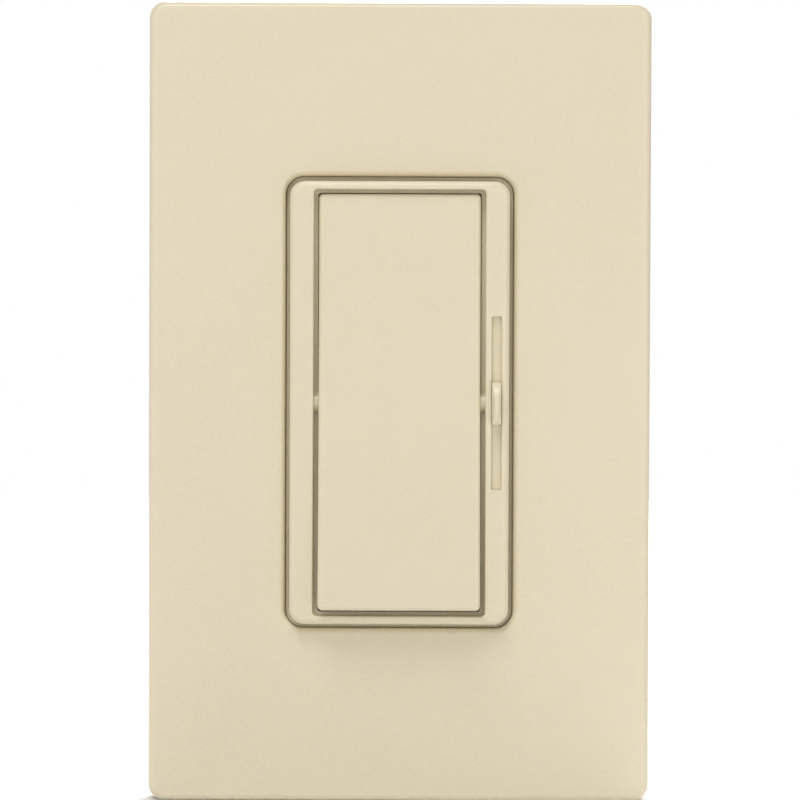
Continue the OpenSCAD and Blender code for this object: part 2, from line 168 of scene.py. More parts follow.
def turned(obj, axis, degrees, pivot):
    here = Matrix.Translation(pivot)
    obj.data.transform(here @ Matrix.Rotation(math.radians(degrees), 4, axis) @ here.inverted())
    return obj


def moved(obj, x=0, z=0):
    obj.data.transform(Matrix.Translation((x, 0, z)))
    return obj


def about(mid, half):
    return mid - half, mid + half


def sided(side, near, far):
    # from near to far on one side of the middle
    return sorted((side * near, side * far))


def block(x, y, z):
    points = [(i, j, k) for i in x for j in y for k in z]
    faces = [(0, 1, 3, 2), (4, 6, 7, 5), (0, 4, 5, 1), (2, 3, 7, 6), (0, 2, 6, 4), (1, 5, 7, 3)]
    return makeObject(points, faces)


def onAxis(axis, along, u, v):
    return {"X": (along, u, v), "Y": (u, along, v), "Z": (u, v, along)}[axis]


def bands(count, rows, closed=False):
    # the quads between neighbouring rows of points, each row a loop of count points
    faces = []
    for row in range(rows if closed else rows - 1):
        a, b = row * count, (row + 1) % rows * count
        for i in range(count):
            j = (i + 1) % count
            faces.append((a + i, a + j, b + j, b + i))
    return faces


def lathe(axis, at, profile, sides=48):
    # profile is a list of (radius, place along the axis), closed by its first and last discs
    points = []
    for radius, along in profile:
        for i in range(sides):
            a = math.tau * i / sides
            p = onAxis(axis, along, radius * math.cos(a), radius * math.sin(a))
            points.append(Vector(p) + Vector(at))
    ends = [tuple(range(sides)), tuple(range((len(profile) - 1) * sides, len(profile) * sides))]
    return makeObject(points, ends + bands(sides, len(profile)))


def rod(axis, r, ends, at=(0, 0, 0), edge=0.0):
    low, high = ends
    if not edge:
        return lathe(axis, at, [(r, low), (r, high)])
    turn = quarter(4)
    start = [(r - edge + edge * math.sin(a), low + edge - edge * math.cos(a)) for a in turn]
    end = [(r - edge + edge * math.cos(a), high - edge + edge * math.sin(a)) for a in turn]
    return lathe(axis, at, start + end)


def quarter(steps):
    return [math.pi / 2 * i / steps for i in range(steps + 1)]


def tube(path, radius, sides=10):
    # round wire along a list of points, with its cross-section carried from point to point
    path = [Vector(p) for p in path]
    points = []
    side = None
    for i, p in enumerate(path):
        ahead = (path[min(i + 1, len(path) - 1)] - path[max(i - 1, 0)]).normalized()
        if side is None:
            side = ahead.orthogonal().normalized()
        side = (side - ahead * side.dot(ahead)).normalized()
        up = ahead.cross(side)
        for j in range(sides):
            a = math.tau * j / sides
            points.append(p + (side * math.cos(a) + up * math.sin(a)) * radius)
    ends = [tuple(range(sides)), tuple(range(len(points) - sides, len(points)))]
    return makeObject(points, bands(sides, len(path)) + ends)


cornerSteps = 10


def ring(w, h, r, y, sideSteps=0):
    # upright rectangle with round corners; y is a depth or a function of the height
    points = []
    for turn, (sx, sz) in enumerate(((1, 1), (-1, 1), (-1, -1), (1, -1))):
        for i in range(cornerSteps + 1):
            a = math.pi / 2 * (turn + i / cornerSteps)
            points.append((sx * (w / 2 - r) + r * math.cos(a), sz * (h / 2 - r) + r * math.sin(a)))
        if turn in (1, 3):
            top = sz * (h / 2 - r)
            for i in range(1, sideSteps + 1):
                points.append((sx * w / 2, top * (1 - 2 * i / (sideSteps + 1))))
    depth = y if callable(y) else (lambda z: y)
    return [(x, depth(z), z) for x, z in points]


def loft(rings, closed=False, caps=""):
    # rings joined in order; a cap is made of strips from its right side to its left
    n = len(rings[0])
    points = [p for loop in rings for p in loop]
    faces = bands(n, len(rings), closed)
    for cap, first in (("first", 0), ("last", (len(rings) - 1) * n)):
        if cap in caps:
            right = [first + (cornerSteps - i) % n for i in range(n // 2)]
            left = [first + cornerSteps + 1 + i for i in range(n // 2)]
            for i in range(n // 2 - 1):
                faces.append((right[i], right[i + 1], left[i + 1], left[i]))
    return makeObject(points, faces)


screwLook = {"r": 1.75, "core": 1.35, "neck": 1.35, "pitch": 0.794,
             "crest": 1.6, "flank": 3.6, "sides": 28, "perTurn": 10}


def thread(axis, at, ends, outer=screwLook["r"]):
    # screw thread: the radius rises and falls along the axis and round it together
    look = screwLook
    low, high = ends
    inner, pitch, sides = look["core"], look["pitch"], look["sides"]
    rows = int((high - low) / pitch * look["perTurn"])
    points = []
    for k in range(rows + 1):
        along = low + (high - low) * k / rows
        fade = min(1, (high - along) / pitch, (along - low) / pitch)
        for i in range(sides):
            phase = (along / pitch - i / sides) % 1
            ridge = min(1, max(0, look["crest"] - look["flank"] * abs(phase - 0.5)))
            radius = inner + (outer - inner) * ridge * max(0, fade)
            a = math.tau * i / sides
            p = onAxis(axis, along, radius * math.cos(a), radius * math.sin(a))
            points.append(Vector(p) + Vector(at))
    caps = [tuple(range(sides)), tuple(range(rows * sides, (rows + 1) * sides))]
    return makeObject(points, bands(sides, rows + 1) + caps)


def cadCopy(node):
    # the CAD piece's own shape, as the start of a visual piece
    source = frame["nodes"][node].data.copy()
    source.materials.clear()
    source.transform(Matrix.Scale(1 / mm, 4))
    bm = bmesh.new()
    bm.from_mesh(source)
    bmesh.ops.remove_doubles(bm, verts=bm.verts, dist=copyGap)
    bmesh.ops.recalc_face_normals(bm, faces=bm.faces)
    bm.to_mesh(source)
    bm.free()
    return addObject(source)


def place(obj, name, node, material, smoothAngle=32, stands=True):
    mesh = obj.data
    mesh.transform(Matrix.Scale(mm, 4))
    obj.name = name
    mesh.name = name
    mesh.materials.clear()
    mesh.materials.append(material)
    mesh.shade_smooth()
    mesh.set_sharp_from_angle(angle=math.radians(smoothAngle))
    # large faces stay flat beside their rounded edges
    flat = obj.modifiers.new("flat_faces", "WEIGHTED_NORMAL")
    flat.keep_sharp = True
    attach(obj, bodyFor[node])
    if stands:
        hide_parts(node)


class Wire:
    # a socket in a node tree; arithmetic on wires adds Math nodes
    def __init__(self, tree, socket=None):
        self.tree = tree
        self.socket = socket

    def node(self, kind, settings=None, inputs=None, out=0):
        made = self.tree.nodes.new(kind)
        for key, value in (settings or {}).items():
            setattr(made, key, value)
        for key, value in (inputs or {}).items():
            if isinstance(value, Wire):
                self.tree.links.new(value.socket, made.inputs[key])
            else:
                made.inputs[key].default_value = value
        return Wire(self.tree, made.outputs[out] if len(made.outputs) else None)

    def math(self, operation, a, b=0.0):
        return self.node("ShaderNodeMath", {"operation": operation}, {0: a, 1: b})

    def __add__(self, other):
        return self.math("ADD", self, other)

    __radd__ = __add__

    def __mul__(self, other):
        return self.math("MULTIPLY", self, other)

    def __sub__(self, other):
        return self.math("SUBTRACT", self, other)

    def __rsub__(self, other):
        return self.math("SUBTRACT", other, self)

    def __gt__(self, other):
        return self.math("GREATER_THAN", self, other)

    def __lt__(self, other):
        return self.math("LESS_THAN", self, other)


def paint(name):
    material = bpy.data.materials.new(name)
    material.use_nodes = True
    material.node_tree.nodes.clear()
    start = Wire(material.node_tree)
    return material, start, start.node("ShaderNodeTexCoord", out="Object")


def stretched(start, place, scale):
    return start.node("ShaderNodeMapping", inputs={"Vector": place, "Scale": scale})


def noise(start, place, scale, detail=2.0, roughness=0.5):
    return start.node("ShaderNodeTexNoise", inputs={"Vector": place, "Scale": scale, "Detail": detail,
                                                    "Roughness": roughness})


def mix(start, amount, below, above):
    # below where amount is 0 and above where it is 1, each of them a colour or a wire
    ends = [side if isinstance(side, Wire) else (*side, 1) for side in (below, above)]
    return start.node("ShaderNodeMix", {"data_type": "RGBA"}, {0: amount, 6: ends[0], 7: ends[1]}, out=2)


def bump(start, height, distance):
    return start.node("ShaderNodeBump", inputs={"Height": height, "Distance": distance * mm})


def finishWith(start, **sockets):
    inputs = {key.replace("_", " "): value for key, value in sockets.items()}
    shader = start.node("ShaderNodeBsdfPrincipled", inputs=inputs)
    start.node("ShaderNodeOutputMaterial", inputs={"Surface": shader})


plasticGlow = {"scale": 0.0006, "radius": (1.0, 0.85, 0.6)}


def mouldedPlastic(name, look):
    # satin moulded plastic: broad faint mottling, spark-eroded grain, slightly uneven gloss
    material, start, place = paint(name)
    broad = noise(start, place, look["broad"], 3)
    grain = noise(start, place, look["grain"], 2)
    colour = mix(start, broad, look["dark"], look["light"])
    gloss = look["rough"] + (broad - 0.5) * look.get("cloud", 0.10) + (grain - 0.5) * look["uneven"]
    relief = bump(start, grain + broad * look.get("wave", 0.6), look["relief"])
    finishWith(start, Base_Color=colour, Roughness=gloss, Normal=relief, IOR=1.5,
               Subsurface_Weight=look.get("glow", 0.0), Subsurface_Scale=plasticGlow["scale"],
               Subsurface_Radius=plasticGlow["radius"])
    return material


metalWear = {"nicks": 900, "few": 0.66, "stain": 0.35, "depth": 0.4, "lineGloss": 0.22, "cloudGloss": 0.14}


def rolledMetal(name, look):
    # sheet or drawn metal: fine lines along one way, cloudy tone and small nicks
    material, start, place = paint(name)
    lines = noise(start, stretched(start, place, look["stretch"]), 1.0, 4, 0.6)
    cloud = noise(start, place, look["cloud"], 3)
    wear = metalWear
    nicks = noise(start, place, wear["nicks"], 3) > wear["few"]
    base = mix(start, cloud, look["dark"], look["light"])
    colour = mix(start, nicks * wear["stain"], base, look["mark"])
    gloss = look["rough"] + (lines - 0.5) * wear["lineGloss"] + (cloud - 0.5) * wear["cloudGloss"]
    relief = bump(start, lines + nicks * wear["depth"], look["relief"])
    finishWith(start, Base_Color=colour, Roughness=gloss, Normal=relief, Metallic=1.0)
    return material


ivory = {"broad": 45, "grain": 5200, "dark": (0.775, 0.695, 0.520), "light": (0.800, 0.722, 0.546),
         "rough": 0.28, "uneven": 0.08, "relief": 0.006, "glow": 0.2, "cloud": 0.03, "wave": 0.1}
ivoryPlate = mouldedPlastic("ivory_cover_plastic", ivory)
ivoryDevice = mouldedPlastic("ivory_device_plastic", {**ivory, "broad": 60, "grain": 6000})
ivorySlider = mouldedPlastic("ivory_slider_plastic", {**ivory, "dark": (0.74, 0.655, 0.475),
                                                      "light": (0.775, 0.69, 0.51)})
blackCase = mouldedPlastic("black_thermoplastic", {
    "broad": 70, "grain": 3000, "dark": (0.012, 0.012, 0.013), "light": (0.022, 0.022, 0.024),
    "rough": 0.46, "uneven": 0.16, "relief": 0.02})
whiteAcetal = mouldedPlastic("white_acetal", {
    "broad": 90, "grain": 4000, "dark": (0.72, 0.72, 0.69), "light": (0.80, 0.80, 0.78),
    "rough": 0.34, "uneven": 0.08, "relief": 0.006, "glow": 0.12})
epoxyBlack = mouldedPlastic("black_epoxy", {
    "broad": 300, "grain": 9000, "dark": (0.010, 0.010, 0.011), "light": (0.019, 0.019, 0.019),
    "rough": 0.52, "uneven": 0.20, "relief": 0.012})
padRubber = mouldedPlastic("thermal_pad", {
    "broad": 200, "grain": 6000, "dark": (0.40, 0.43, 0.47), "light": (0.50, 0.53, 0.57),
    "rough": 0.7, "uneven": 0.1, "relief": 0.02})
filmYellow = mouldedPlastic("film_capacitor_case", {
    "broad": 160, "grain": 5000, "dark": (0.70, 0.44, 0.035), "light": (0.78, 0.52, 0.06),
    "rough": 0.38, "uneven": 0.1, "relief": 0.01})
dippedOrange = mouldedPlastic("dipped_ceramic", {
    "broad": 350, "grain": 1500, "dark": (0.58, 0.17, 0.02), "light": (0.70, 0.25, 0.04),
    "rough": 0.30, "uneven": 0.1, "relief": 0.04})
dippedBlue = mouldedPlastic("dipped_varistor", {
    "broad": 300, "grain": 1400, "dark": (0.03, 0.12, 0.40), "light": (0.05, 0.18, 0.52),
    "rough": 0.30, "uneven": 0.1, "relief": 0.04})
trimmerBlue = mouldedPlastic("trimmer_case", {
    "broad": 300, "grain": 5000, "dark": (0.03, 0.14, 0.42), "light": (0.05, 0.20, 0.52),
    "rough": 0.42, "uneven": 0.1, "relief": 0.01})
coatedCore = mouldedPlastic("coated_core", {
    "broad": 260, "grain": 1600, "dark": (0.20, 0.24, 0.05), "light": (0.28, 0.31, 0.08),
    "rough": 0.48, "uneven": 0.2, "relief": 0.05})
fibreBoard = mouldedPlastic("vulcanised_fibre", {
    "broad": 500, "grain": 2600, "dark": (0.36, 0.13, 0.06), "light": (0.50, 0.21, 0.10),
    "rough": 0.72, "uneven": 0.15, "relief": 0.05})
phenolic = mouldedPlastic("phenolic_track", {
    "broad": 400, "grain": 3500, "dark": (0.15, 0.07, 0.03), "light": (0.24, 0.12, 0.055),
    "rough": 0.5, "uneven": 0.15, "relief": 0.02})
greenDye = mouldedPlastic("green_screw_finish", {
    "broad": 500, "grain": 2500, "dark": (0.01, 0.16, 0.045), "light": (0.02, 0.24, 0.07),
    "rough": 0.32, "uneven": 0.2, "relief": 0.02})
blackOxide = mouldedPlastic("black_oxide", {
    "broad": 500, "grain": 2500, "dark": (0.014, 0.014, 0.016), "light": (0.03, 0.03, 0.034),
    "rough": 0.38, "uneven": 0.2, "relief": 0.02})

strapMetal = rolledMetal("stamped_aluminium", {
    "stretch": (9000, 9000, 260), "cloud": 120, "dark": (0.55, 0.56, 0.58), "light": (0.68, 0.69, 0.71),
    "mark": (0.40, 0.40, 0.41), "rough": 0.40, "relief": 0.008})
zincSteel = rolledMetal("zinc_plate", {
    "stretch": (5000, 5000, 900), "cloud": 260, "dark": (0.52, 0.52, 0.50), "light": (0.68, 0.68, 0.65),
    "mark": (0.36, 0.34, 0.30), "rough": 0.34, "relief": 0.006})
springSteel = rolledMetal("spring_steel", {
    "stretch": (4000, 4000, 4000), "cloud": 400, "dark": (0.42, 0.43, 0.45), "light": (0.58, 0.59, 0.61),
    "mark": (0.30, 0.30, 0.31), "rough": 0.28, "relief": 0.004})
brass = rolledMetal("stamped_brass", {
    "stretch": (5200, 5200, 800), "cloud": 260, "dark": (0.62, 0.42, 0.15), "light": (0.76, 0.55, 0.24),
    "mark": (0.42, 0.25, 0.09), "rough": 0.32, "relief": 0.006})
silverAlloy = rolledMetal("contact_silver", {
    "stretch": (3000, 3000, 3000), "cloud": 700, "dark": (0.70, 0.69, 0.66), "light": (0.84, 0.83, 0.80),
    "mark": (0.50, 0.48, 0.44), "rough": 0.30, "relief": 0.006})
enamelCopper = rolledMetal("enamelled_copper", {
    "stretch": (2500, 2500, 2500), "cloud": 500, "dark": (0.46, 0.15, 0.04), "light": (0.66, 0.26, 0.09),
    "mark": (0.34, 0.10, 0.03), "rough": 0.24, "relief": 0.004})
solder = rolledMetal("solder", {
    "stretch": (1800, 1800, 1800), "cloud": 700, "dark": (0.58, 0.58, 0.58), "light": (0.74, 0.74, 0.73),
    "mark": (0.45, 0.44, 0.42), "rough": 0.30, "relief": 0.02})


maskLook = {"areas": 170, "gap": 0.10, "weave": 2600, "dark": (0.006, 0.075, 0.022),
            "light": (0.010, 0.10, 0.032), "copper": (0.020, 0.19, 0.060), "rough": 0.28, "relief": 0.03}


def boardLaminate():
    # green solder mask, brighter and raised over the copper areas and dark in the gaps between them
    look = maskLook
    material, start, place = paint("solder_mask")
    cells = start.node("ShaderNodeTexVoronoi", {"feature": "DISTANCE_TO_EDGE", "distance": "EUCLIDEAN"},
                       {"Vector": place, "Scale": look["areas"]})
    copper = cells > look["gap"]
    weave = noise(start, place, look["weave"], 2)
    colour = mix(start, copper, mix(start, weave, look["dark"], look["light"]), look["copper"])
    finishWith(start, Base_Color=colour, Roughness=look["rough"] + weave * 0.12,
               Normal=bump(start, copper + weave * 0.2, look["relief"]))
    return material


def bandedCoat(name, body, bands, centre):
    # coat with colour rings; each ring is its distance from the body's middle, its width and its colour
    material, start, place = paint(name)
    across = start.node("ShaderNodeSeparateXYZ", inputs={"Vector": place}, out="X") - centre * mm
    mottle = noise(start, place, 1500, 2)
    colour = mix(start, mottle, [c * 0.88 for c in body], body)
    for offset, width, shade in bands:
        ringMask = start.math("ABSOLUTE", across - offset * mm) < width * mm / 2
        colour = mix(start, ringMask, colour, shade)
    finishWith(start, Base_Color=colour, Roughness=0.30 + mottle * 0.12,
               Normal=bump(start, mottle, 0.01))
    return material


labelLook = {"row": 8, "rule": 0.035, "frame": 10.5, "line": 0.14, "dark": (0.62, 0.62, 0.61),
             "light": (0.72, 0.72, 0.71), "ink": (0.06, 0.06, 0.07)}


def foilLabel():
    # blank rating label: silver foil with ruled grey boxes and nothing written in them
    look = labelLook
    material, start, place = paint("ruled_foil")
    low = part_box("rating_label")[0]
    up = start.node("ShaderNodeSeparateXYZ", inputs={"Vector": place}, out="Z")
    across = start.node("ShaderNodeSeparateXYZ", inputs={"Vector": place}, out="X")
    rows = start.math("FRACT", (up - low.z) * (1 / (look["row"] * mm)))
    fromMiddle = start.math("ABSOLUTE", across)
    rule = (rows < look["rule"]) * (fromMiddle < look["frame"] * mm)
    frameX = start.math("ABSOLUTE", fromMiddle - look["frame"] * mm) < look["line"] * mm
    grain = noise(start, stretched(start, place, (300, 300, 9000)), 1.0, 3)
    ink = start.math("MAXIMUM", rule, frameX)
    colour = mix(start, ink, mix(start, grain, look["dark"], look["light"]), look["ink"])
    finishWith(start, Base_Color=colour, Metallic=0.75 - ink * 0.75, Roughness=0.36 + grain * 0.12,
               Normal=bump(start, grain, 0.004))
    return material


boardGreen = boardLaminate()
axialX = -5
resistorCoat = bandedCoat("resistor_coat", (0.66, 0.50, 0.30), [
    (-2.1, 0.5, (0.30, 0.06, 0.03)), (-1.1, 0.5, (0.02, 0.02, 0.02)), (-0.1, 0.5, (0.72, 0.34, 0.03)),
    (1.9, 0.45, (0.62, 0.44, 0.12))], axialX)
diacGlass = bandedCoat("diac_glass", (0.55, 0.14, 0.05), [(-1.2, 0.45, (0.02, 0.02, 0.02))], axialX)
foil = foilLabel()
print("materials ready")


# Front of the device

plateLook = {"corner": 2.4, "edge": 1.0, "side": 1.9, "front": 2.2, "rearEdge": 0.25,
             "openW": 34.0, "openH": 67.4, "openCorner": 2.7, "openEdge": 0.9, "innerCorner": 1,
             "catchY": (-3.6, -2.7), "catchZ": 30, "catchHalf": 4, "catchReach": 0.9,
             "clipX": 20, "clipHalf": 0.6, "clipEnd": -2.6, "clipReach": 0.3, "root": 0.4,
             "slotY": (-3.2, -1.8), "slotHalf": 3}


def mouthRings(w, h, corner, edge, face, steps):
    # the rounded rim of an opening in a face, from the face inwards
    rings = []
    for a in quarter(steps):
        outset = edge * (1 - math.sin(a))
        rings.append(ring(w + 2 * outset, h + 2 * outset, corner + outset, face + edge * (1 - math.cos(a))))
    return rings


def brimRings(w, h, corner, edge, face, steps):
    # the rounded outer rim of a face, from the side round to the face
    rings = []
    for a in quarter(steps):
        inset = edge * (1 - math.cos(a))
        rings.append(ring(w - 2 * inset, h - 2 * inset, corner - inset, face + edge - edge * math.sin(a)))
    return rings


def buildWallplate():
    look = plateLook
    low, high = span("wallplate")
    w, h, face = high.x - low.x, high.z - low.z, low.y
    rear = look["rearEdge"]
    rings = []
    for a in quarter(3):
        inset = rear * (1 - math.sin(a))
        rings.append(ring(w - 2 * inset, h - 2 * inset, look["corner"] - inset, -rear * (1 - math.cos(a))))
    rings += brimRings(w, h, look["corner"], look["edge"], face, 8)
    rings += mouthRings(look["openW"], look["openH"], look["openCorner"], look["openEdge"], face, 8)
    back = face + look["front"]
    innerW, innerH = w - 2 * look["side"], h - 2 * look["side"]
    rings.append(ring(look["openW"], look["openH"], look["openCorner"], back))
    rings.append(ring(innerW, innerH, look["innerCorner"], back))
    rings.append(ring(innerW, innerH, look["innerCorner"], 0))
    plate = loft(rings, closed=True)
    ribs = []
    root = look["root"]
    for side in (-1, 1):
        for up in (-1, 1):
            ribs.append(block(sided(side, innerW / 2 - look["catchReach"], innerW / 2 + root),
                              look["catchY"], about(up * look["catchZ"], look["catchHalf"])))
            ribs.append(block(about(side * look["clipX"], look["clipHalf"]), (back - root, look["clipEnd"]),
                              sided(up, innerH / 2 - look["clipReach"], innerH / 2 + root)))
    weld(plate, *ribs)
    cut(plate, block(about(0, look["slotHalf"]), look["slotY"], (low.z - past, -innerH / 2 + past)))
    place(plate, "cover_plate", "wallplate", ivoryPlate)


bezelLook = {"w": 32.7, "h": 66.0, "corner": 2.3, "edge": 0.95, "wellW": 25.6, "wellH": 63.5,
             "wellCorner": 0.6, "wellEdge": 0.3, "ledgeDepth": 2.3, "ledge": (24.3, 62.4, 0.4),
             "flangeY": (-3.0, -1.5), "flange": (39, 71), "bossR": 2.2, "bossY": -3.5, "bossSink": 0.1,
             "holeR": 1.25, "holeY": -3.3, "pinR": 1.4, "pinReach": 2.5, "pinRoot": 0.4, "pinEdge": 0.2,
             "pinY": -7.2, "slotLip": 0.18, "slotCorner": 0.25, "postX": -3, "window": (3.4, 4.4),
             "trimmerAt": (-7.2, 0, 26.5), "trimmerR": 3.2, "trimmerY": -2.6}
sliderLook = {"x": 14.45, "slotW": 1.5, "slotH": 25.8, "channelY": (-9.05, -8.3),
              "channelHalf": (1.15, 32.3), "lowerHalf": 11.85, "lowerY": -8.95, "stem": (0.5, 2.0),
              "stemY": (-9.1, -0.2), "forkY": -4.2, "forkHalf": 0.65}
caseCorners = [(sx * 17, sz * 29.5) for sx in (-1, 1) for sz in (-1, 1)]


def slotTool(face):
    look = sliderLook
    lip, corner = bezelLook["slotLip"], bezelLook["slotCorner"]
    w, h = look["slotW"], look["slotH"]
    rings = [ring(w + 2 * lip, h + 2 * lip, corner + lip, face - past / 2)]
    rings += mouthRings(w, h, corner, lip, face, 4)
    rings.append(ring(w, h, corner, look["channelY"][1]))
    return moved(loft(rings, caps="first last"), x=look["x"])


def buildBezel():
    look = bezelLook
    face, back = span("bezel")[0].y, look["flangeY"][1]
    well = (look["wellW"], look["wellH"], look["wellCorner"])
    depth = face + look["ledgeDepth"]
    rings = [ring(look["w"], look["h"], look["corner"], back)]
    rings += brimRings(look["w"], look["h"], look["corner"], look["edge"], face, 8)
    rings += mouthRings(*well, look["wellEdge"], face, 5)
    rings += [ring(*well, depth), ring(*look["ledge"], depth), ring(*look["ledge"], back)]
    bezel = loft(rings, closed=True)
    flangeW, flangeH = look["flange"]
    flange = block(about(0, flangeW / 2), look["flangeY"], about(0, flangeH / 2))
    bosses = [rod("Y", look["bossR"], (look["bossY"], back - look["bossSink"]), (x, 0, z))
              for x, z in caseCorners]
    pins = []
    for side in (-1, 1):
        ends = sided(side, look["wellW"] / 2 - look["pinReach"], look["wellW"] / 2 + look["pinRoot"])
        pins.append(rod("X", look["pinR"], ends, (0, look["pinY"], 0), edge=look["pinEdge"]))
    weld(bezel, flange, *bosses, *pins)
    slider = sliderLook
    windowX, windowZ = look["window"]
    channelX, channelZ = slider["channelHalf"]
    tools = [
        slotTool(face),
        block(about(slider["x"], channelX), slider["channelY"], about(0, channelZ)),
        block(about(slider["x"], slider["slotW"] / 2), (slider["lowerY"], 0),
              about(0, slider["lowerHalf"])),
        block(about(look["postX"], windowX), (look["flangeY"][0] - past, 0), about(0, windowZ)),
        rod("Y", look["trimmerR"], (look["trimmerY"], 0), look["trimmerAt"]),
    ]
    tools += [rod("Y", look["holeR"], (look["holeY"], 0), (x, 0, z)) for x, z in caseCorners]
    cut(bezel, *tools)
    place(bezel, "bezel_frame", "bezel", ivoryDevice)


paddleLook = {"w": 24.1, "h": 61.9, "corner": 0.7, "edge": 0.6, "hollowR": 520, "crownY": -9.679,
              "backY": -5.0, "shellY": -8.2, "wall": 1.6, "innerCorner": 0.4, "step": 0.15, "least": 0.08,
              "tilt": -3.2, "pivotY": -7.2, "ribs": (-20, -10, 10, 20), "ribHalf": 0.6, "ribY": -5.8,
              "cheekX": 9.2, "cheekHalf": 3, "holeR": 1.45, "holeX": (10.2, 20), "postX": -3, "postR": 2.7,
              "postEnd": 0.3, "postEdge": 0.2, "boreR": 1.6, "boreY": (-8.0, 5), "rows": 46}


def buildPaddle():
    look = paddleLook
    w, h, e, radius = look["w"], look["h"], look["edge"], look["hollowR"]

    def face(z):
        return look["crownY"] - radius + math.sqrt(radius * radius - z * z)

    rows, back, step = look["rows"], look["backY"], look["step"]
    inner = (w - 2 * look["wall"], h - 2 * look["wall"], look["innerCorner"])
    rings = [ring(*inner, look["shellY"], rows), ring(*inner, back, rows),
             ring(w - 2 * step, h - 2 * step, look["corner"], back, rows),
             ring(w, h, look["corner"], back - step, rows)]
    for a in quarter(7):
        inset, lift = e * (1 - math.cos(a)), e * (1 - math.sin(a))
        rings.append(ring(w - 2 * inset, h - 2 * inset, max(look["corner"] - inset, look["least"]),
                          lambda z, lift=lift: face(z) + lift, rows))
    paddle = loft(rings, caps="first last")
    # ribs, pivot cheeks and plunger post start inside the shell
    shell = look["shellY"] - 0.3
    ribs = [block(about(0, w / 2 - 1), (shell, look["ribY"]), about(z, look["ribHalf"]))
            for z in look["ribs"]]
    cheek = about(0, look["cheekHalf"])
    ribs += [block(sided(side, look["cheekX"], w / 2 - 0.5), (shell, back - 0.1), cheek)
             for side in (-1, 1)]
    post = (look["postX"], 0, 0)
    ribs.append(rod("Y", look["postR"], (shell, look["postEnd"]), post, edge=look["postEdge"]))
    weld(paddle, *ribs)
    holes = [rod("X", look["holeR"], sided(side, *look["holeX"]), (0, look["pivotY"], 0))
             for side in (-1, 1)]
    holes.append(rod("Y", look["boreR"], look["boreY"], post))
    cut(paddle, *holes)
    place(turned(paddle, "X", look["tilt"], (0, look["pivotY"], 0)), "rocker_paddle", "paddle", ivoryDevice)


plungerLook = {"r": 1.5, "edge": 0.2, "back": -4.5, "tip": 2.5, "groove": 0.15,
               "grooveY": (-1.4, -1.2, -0.8, -0.6), "turns": 6, "coilR": 1.15, "wire": 0.2,
               "perTurn": 24, "closed": 0.04, "seat": -8.0, "travel": 1.0}


def buildPlunger():
    look, post = plungerLook, paddleLook
    pivot = (0, post["pivotY"], 0)
    r, edge, groove = look["r"], look["edge"], look["groove"]
    profile = [(r - edge, look["back"]), (r, look["back"] + edge)]
    profile += zip((r, r - groove, r - groove, r), look["grooveY"])
    profile += [(r * math.cos(a), look["tip"] - r + r * math.sin(a)) for a in quarter(8)]
    pin = lathe("Y", (post["postX"], 0, 0), profile, 32)
    place(turned(pin, "X", post["tilt"], pivot), "plunger_pin", "plunger", whiteAcetal)
    path = []
    low, high = look["seat"] + look["wire"], look["back"] - look["wire"]
    steps = look["turns"] * look["perTurn"]
    for i in range(steps + 1):
        t = i / steps
        rise = t + look["closed"] * math.sin(math.tau * t) * (1 - t)
        a = math.tau * look["turns"] * t
        path.append((post["postX"] + look["coilR"] * math.cos(a), low + (high - low) * min(1, rise),
                     look["coilR"] * math.sin(a)))
    coil = turned(tube(path, look["wire"]), "X", post["tilt"], pivot)
    place(coil, "plunger_coil_spring", "plunger_spring", springSteel, 60)
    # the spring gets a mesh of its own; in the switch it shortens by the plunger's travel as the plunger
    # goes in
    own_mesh(coil)


# the nib from its foot to its crest: depth, lower end, upper end and half the width
nibRows = [(-9.0, -3.2, 3.2, 0.71), (-9.9, -3.2, 3.2, 0.71), (-10.5, -3.05, 2.95, 0.68),
           (-11.1, -2.7, 2.3, 0.58), (-11.55, -2.1, 1.5, 0.44), (-11.88, -1.0, 0.5, 0.28)]


def buildSlider():
    look = sliderLook
    points = []
    for y, low, high, half in nibRows:
        points += [(-half, y, low), (half, y, low), (half, y, high), (-half, y, high)]
    ends = [(0, 1, 2, 3), tuple(range(len(points) - 4, len(points)))]
    nib = soften(makeObject(points, bands(4, len(nibRows)) + ends), 0.16, 3, 24)
    stemW, stemH = look["stem"]
    weld(nib, block(about(0, stemW), look["stemY"], about(0, stemH)))
    cut(nib, block(about(0, past), (look["forkY"], 0), about(0, look["forkHalf"])))
    place(moved(nib, x=look["x"]), "slider_nib", "slider_knob", ivoryDevice)
    strip = soften(cadCopy("dust_strip"), 0.08)
    place(strip, "slot_strip", "dust_strip", ivorySlider)


buildWallplate()
buildBezel()
buildPaddle()
buildPlunger()
buildSlider()
print("front pieces built")


# Cover's sub-plate, strap and screws

def pressedPart(node, name, material, width=0.15, segments=2):
    # a CAD piece with its edges broken, as stamping or moulding leaves them
    place(soften(cadCopy(node), width, segments), name, node, material)


boxScrewLook = {"z": 41.67, "neckEnd": 1.2, "tip": 1.0, "point": 0.45, "slotHalf": 0.5, "slotDepth": 0.9,
                "crossHalf": 0.45, "crossReach": 1.7, "crossDepth": 1.2}
coverScrewLook = {"z": 48.4, "neckEnd": 2.8, "tip": 0.8, "point": 0.4, "slotHalf": 0.4, "slotDepth": 0.8,
                  "play": 0.02}


def crossTool(at, half, width, ends):
    # a cross recess: two bars of one length and width
    tools = []
    for x, z in ((about(0, half), about(0, width)), (about(0, width), about(0, half))):
        tools.append(moved(block(x, ends, z), x=at[0], z=at[2]))
    return tools


def threadedEnd(at, start, end, look, r):
    # the thread and the chamfered tip beyond it
    core, chamfer = screwLook["core"], end - look["tip"]
    tip = lathe("Y", at, [(core, chamfer), (core - look["point"], end)], screwLook["sides"])
    return [thread("Y", at, (start, chamfer), r), tip]


